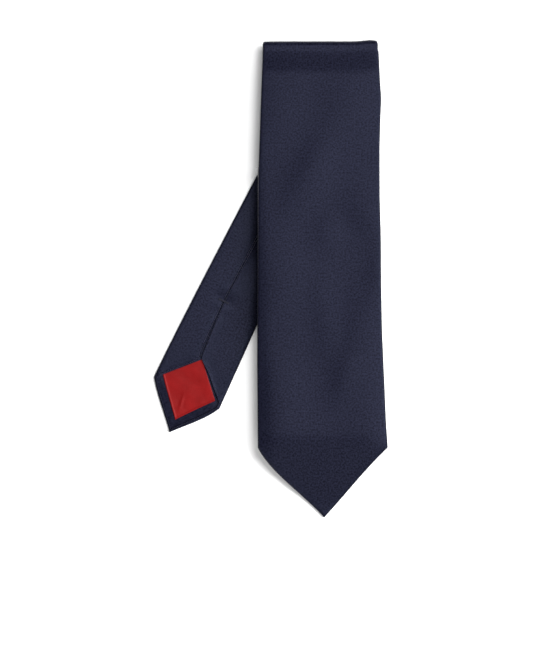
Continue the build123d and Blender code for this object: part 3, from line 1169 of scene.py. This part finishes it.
    def bar_tack(self, stretch: Stretch, at: float, length: float, node: str) -> None:
        """Sews a bar tack: three strands across the seam, wrapped by a row of small stitches."""
        seam = float(stretch.seam(np.array([at]))[0])
        x = np.linspace(-length / 2, length / 2, 9) + seam
        top = stretch.thickness / 2
        parts = []
        for strand in (-0.32, 0.0, 0.32):
            path = stretch.place(x, np.full_like(x, at + strand), np.full_like(x, top + 0.0))
            parts.append(StitchRow(f"{node}_strand", path, 1.0, 1.6, 0.42).build(self.cloths.thread))
        wraps = stretch.place(x, np.full_like(x, at), np.full_like(x, top + 0.1))
        parts.append(StitchRow(f"{node}_wraps", wraps, 0.55, 1.35, 0.42, True).build(self.cloths.thread))
        self.add(joined(f"{node}_threads", parts), stretch.name, "thread", node)

    def blade_trim(self, blade: Stretch) -> None:
        """Makes the keeper loop and the two blank labels on the back of the blade."""
        back = blade.thickness / 2
        silk, ribbon = self.cloths.silk, self.cloths.ribbon
        v = np.linspace(self.keeper_place - 6, self.keeper_place + 6, 14)

        def bowed(x: np.ndarray, at: np.ndarray) -> np.ndarray:
            """How far the loop stands off between its two stitched feet."""
            return 0.38 * ease((23.5 - np.abs(x)) / 4.0)

        half = np.full_like(v, 24.0)
        keeper = blade.slab("keeper_band", v, half, half, (back + 0.0, back + 0.7), silk, 40, bowed)
        rows = []
        for sign in (-1, 1):
            path = blade.place(np.full_like(v, sign * 22.4), v, np.full_like(v, back + 0.75))
            rows.append(StitchRow(f"keeper_row_{sign}", path, 1.6, 1.1, 0.35).build(self.cloths.thread))
        self.add(keeper, "front_blade", "silk", "keeper_loop")
        self.add(joined("keeper_stitches", rows), "front_blade", "thread")
        v = np.linspace(self.maker_place - 10, self.maker_place + 10, 20)
        half = np.full_like(v, 22.0)
        maker = blade.slab("maker_ribbon", v, half, half, (back, back + 0.3), ribbon, 40)
        rows = []
        for sign in (-1, 1):
            path = blade.place(np.full_like(v, sign * 21.0), v, np.full_like(v, back + 0.32))
            rows.append(StitchRow(f"maker_row_{sign}", path, 2.0, 1.3, 0.3).build(self.cloths.thread))
        self.add(maker, "front_blade", "label_satin", "maker_label")
        self.add(joined("maker_stitches", rows), "front_blade", "thread")
        self.care_label(blade, back, ribbon)

    def care_label(self, blade: Stretch, back: float, ribbon: bpy.types.Material) -> None:
        """Lays the loose label from the seam to the blade's left edge, where its corner shows."""
        length, width, slant = 40.0, 14.0, math.radians(12.0)
        p = np.linspace(0, length, 30)[:, None]
        q = np.linspace(-width / 2, width / 2, 12)[None]
        q = np.concatenate([q, q[:, ::-1]], axis=1)
        x = -p * math.cos(slant) - q * math.sin(slant)
        v = self.care_place + p * math.sin(slant) - q * math.cos(slant)
        depth = np.concatenate([np.full(12, back + 0.02), np.full(12, back + 0.32)])[None] + 0 * x
        rings = blade.place(x, v, depth)
        edge = np.minimum(np.maximum(-x - 37.0, 0), 6)
        rings[..., 2] += 0.12 * edge
        uv = np.stack([q + 0 * p, p + 0 * q], axis=-1) * MM
        uv = np.concatenate([uv, uv[:, :1]], axis=1)
        label = make_piece("care_ribbon", rings, uv, ribbon)
        self.add(label, "front_blade", "label_satin", "care_label")

    def build(self) -> None:
        """Builds every piece of the tie."""
        made = self.stretches()
        self.build_silk(made)
        crease = Swell(3.0, made["front_blade"].bottom - 4.0, 0.3, 1.6, 12.0, 20)
        self.tipping("front_lining", made["front_blade"], 7.0, crease, "front_tipping")
        crease = Swell(-0.6, made["tail"].bottom + 6.9, 0.3, 0.9, 4.0, 6)
        self.tipping("tail_lining", made["tail"], 5.6, crease, "tail_tipping")
        self.seam_threads(made)
        self.bar_tack(made["tail"], self.tail_tack, 6.0, "tail_bar_tack")
        self.bar_tack(made["front_blade"], self.front_tack, 8.0, "front_bar_tack")
        self.blade_trim(made["front_blade"])


# ---------------------------------------------------------------- the studio


@dataclass
class Studio:
    """A pale table under soft light, looked at from straight above."""

    floor_material: bpy.types.Material
    view_centre: tuple[float, float] = (0.27, -28.8)
    view_height: float = 402.3  # millimetres that the picture's long side covers
    distance: float = 5000.0
    table_size: float = 6.0

    def table(self) -> bpy.types.Object:
        """The table top, a large flat sheet at height 0."""
        half = self.table_size / 2
        mesh = bpy.data.meshes.new("table")
        corners = [(-half, -half, 0), (half, -half, 0), (half, half, 0), (-half, half, 0)]
        mesh.from_pydata(corners, [], [(0, 1, 2, 3)])
        mesh.materials.append(self.floor_material)
        table = bpy.data.objects.new("table", mesh)
        bpy.context.scene.collection.objects.link(table)
        return table

    def lamp(self, name: str, place: tuple[float, float, float], size: float, power: float) -> None:
        """A square soft lamp aimed at the origin.

        Args:
            name: the lamp's name.
            place: where it stands, in metres.
            size: its side, in metres.
            power: its power, in watts.
        """
        data = bpy.data.lights.new(name, "AREA")
        data.shape, data.size, data.energy = "SQUARE", size, power
        lamp = bpy.data.objects.new(name, data)
        lamp.location = place
        aim = -np.array(place)
        lamp.rotation_euler = (
            math.atan2(math.hypot(aim[0], aim[1]), -aim[2]), 0.0, math.atan2(aim[0], -aim[1]) + math.pi
        )
        bpy.context.scene.collection.objects.link(lamp)

    def build(self) -> None:
        """Sets up the table, lamps, surroundings and camera."""
        self.table()
        self.lamp("key", (1.6, 0.0, 1.5), 1.4, 80.0)
        self.lamp("overhead", (0.6, 0.65, 2.2), 1.1, 44.0)
        self.lamp("fill", (0.1, -1.75, 2.0), 1.2, 22.0)
        world = bpy.data.worlds.new("studio")
        world.use_nodes = True
        background = world.node_tree.nodes["Background"]
        background.inputs[0].default_value = (1.0, 1.0, 1.0, 1.0)
        background.inputs[1].default_value = 0.36
        scene = bpy.context.scene
        scene.world = world
        scene.view_settings.view_transform = "Standard"
        data = bpy.data.cameras.new("camera")
        data.lens = data.sensor_width * self.distance / self.view_height
        data.clip_end = 50.0
        camera = bpy.data.objects.new("camera", data)
        camera.location = (self.view_centre[0] * MM, self.view_centre[1] * MM, (self.distance + 16.0) * MM)
        scene.collection.objects.link(camera)
        scene.camera = camera


def main() -> None:
    """Builds the tie on its frame, and the studio round it."""
    logging.basicConfig(level=logging.INFO, format="%(name)s: %(message)s")
    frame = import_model()
    cloths = Cloths()
    studio = Studio(cloths.floor)
    studio.build()
    tie = Tie(Frame.read(frame), cloths)
    tie.build()
    LOG.info("%d pieces", len(tie.pieces))


if __name__ == "__main__":
    main()
